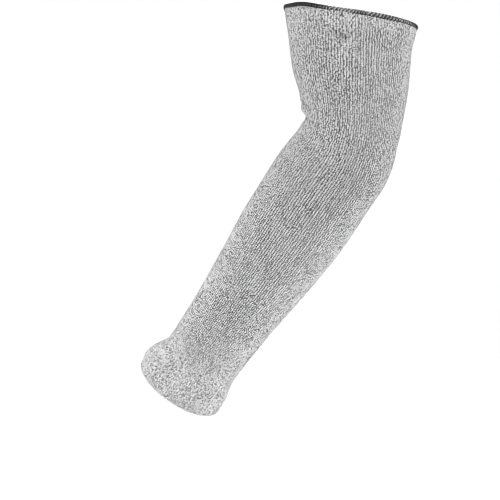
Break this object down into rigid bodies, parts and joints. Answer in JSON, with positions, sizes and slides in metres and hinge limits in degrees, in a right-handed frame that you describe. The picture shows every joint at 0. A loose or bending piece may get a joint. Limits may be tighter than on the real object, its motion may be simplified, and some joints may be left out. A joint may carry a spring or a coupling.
{
  "type": "cut resistant sleeve",
  "caption": "Tubular knit sleeve in grey marl yarn, bent at the elbow as worn, with a black overlocked top edge and a plain knit wrist end.",
  "frame": {"origin": "middle of the elbow inside the sleeve, where the axes of its upper and lower parts meet", "axes": "+Z along the axis of the upper part towards the overlocked top edge, -Y to the front, +X to the outer side of the bend; the lower part runs down, to -X and to +Y"},
  "size_m": [0.2506, 0.2099, 0.3705],
  "materials": {
    "marl_knit": "plain jersey knit of grey marl yarn, light and dark fibres mixed, with a soft fuzzy surface",
    "black_thread": "black textured overlock thread, matt, in dense slanting stitches"
  },
  "bodies": {
    "root": {"upper_sleeve": "marl_knit", "forearm_sleeve": "marl_knit", "wrist_sleeve": "marl_knit", "overlock_edge": "black_thread"}
  },
  "joints": []
}
